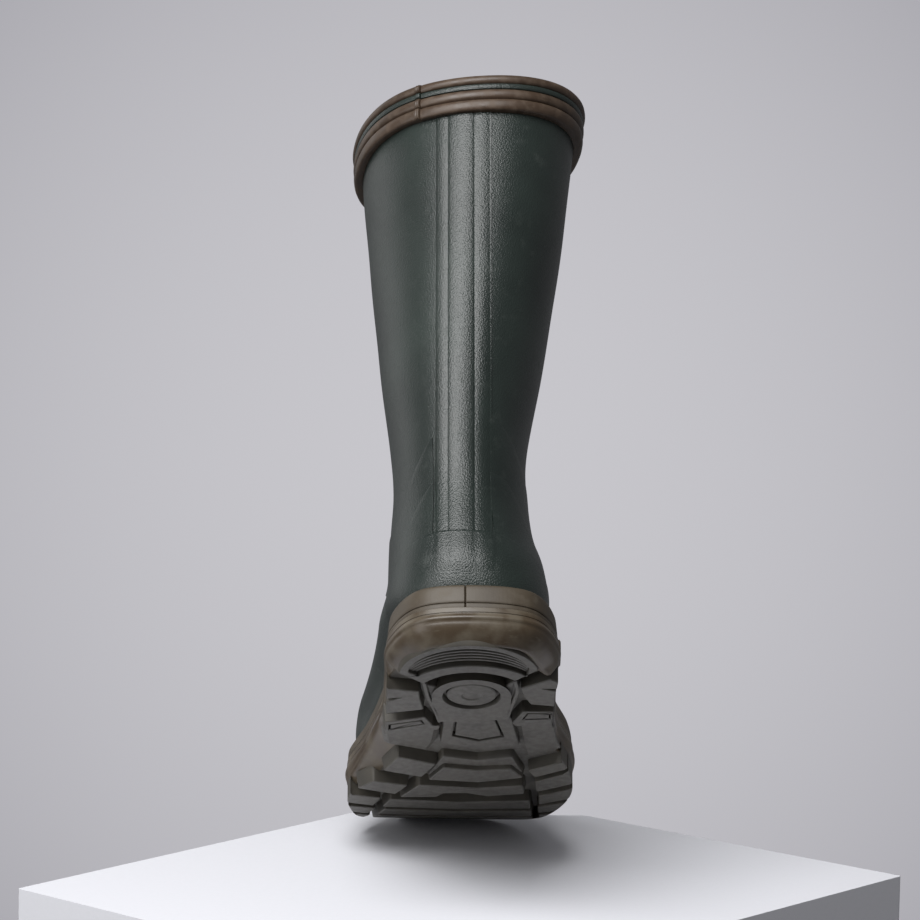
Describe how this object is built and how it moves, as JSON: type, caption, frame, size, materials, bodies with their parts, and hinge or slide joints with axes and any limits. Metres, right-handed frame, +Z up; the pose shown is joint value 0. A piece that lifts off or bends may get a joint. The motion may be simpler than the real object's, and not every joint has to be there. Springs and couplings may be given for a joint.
{
  "type": "boot",
  "caption": "Right rubber field boot: insulated pull-on upper with a ribbed top binding, a flexing ankle and a lugged cup sole.",
  "frame": {"origin": "on the ground, under the middle of the bounding box", "axes": "+Z up along the shaft, +Y towards the toe, +X to the outer side of this right boot"},
  "size_m": [0.1211, 0.296, 0.3312],
  "materials": {
    "green_rubber": "hand-laid natural rubber, fine grain, satin",
    "overlay_rubber": "natural rubber overlay, fine grain, satin",
    "brown_rubber": "smooth brown rubber, glossy",
    "binding_rubber": "extruded ribbed brown rubber, satin",
    "tread_rubber": "moulded rubber, dusty, matt",
    "neoprene": "fabric-faced insulating neoprene",
    "insole_board": "pressed fibre board",
    "footbed": "felt-faced foam",
    "foam": "expanded rubber foam",
    "shank_steel": "cold-rolled spring steel"
  },
  "bodies": {
    "foot": {"outsole": "tread_rubber", "foxing_strip": "brown_rubber", "heel_core": "foam", "shank": "shank_steel", "foot_shell": "green_rubber", "ankle_sleeve": "green_rubber", "sock_foot": "neoprene", "sock_ankle": "neoprene", "heel_stiffener": "insole_board", "toe_puff": "insole_board", "insole_board": "insole_board", "heel_counter": "overlay_rubber", "ankle_patch_inner": "overlay_rubber", "ankle_patch_outer": "overlay_rubber", "toe_cap": "overlay_rubber", "side_badge": "brown_rubber"},
    "leg": {"leg_shell": "green_rubber", "sock_leg": "neoprene", "back_strip": "overlay_rubber", "top_binding": "binding_rubber", "binding_inlay": "green_rubber"},
    "footbed": {"footbed": "footbed"}
  },
  "joints": [
    {"name": "ankle_flex", "type": "hinge", "parent": "foot", "child": "leg", "pos_m": [-0.004, -0.085, 0.105], "axis": [-1, 0, 0], "range_deg": [-8, 15], "stiffness_Nm_per_rad": 8, "deforming": ["ankle_sleeve", "sock_ankle", "back_strip", "ankle_patch_inner", "ankle_patch_outer"]},
    {"name": "footbed_lift", "type": "hinge", "parent": "foot", "child": "footbed", "pos_m": [0, 0.112, 0.043], "axis": [-1, 0, 0], "range_deg": [0, 5]}
  ]
}
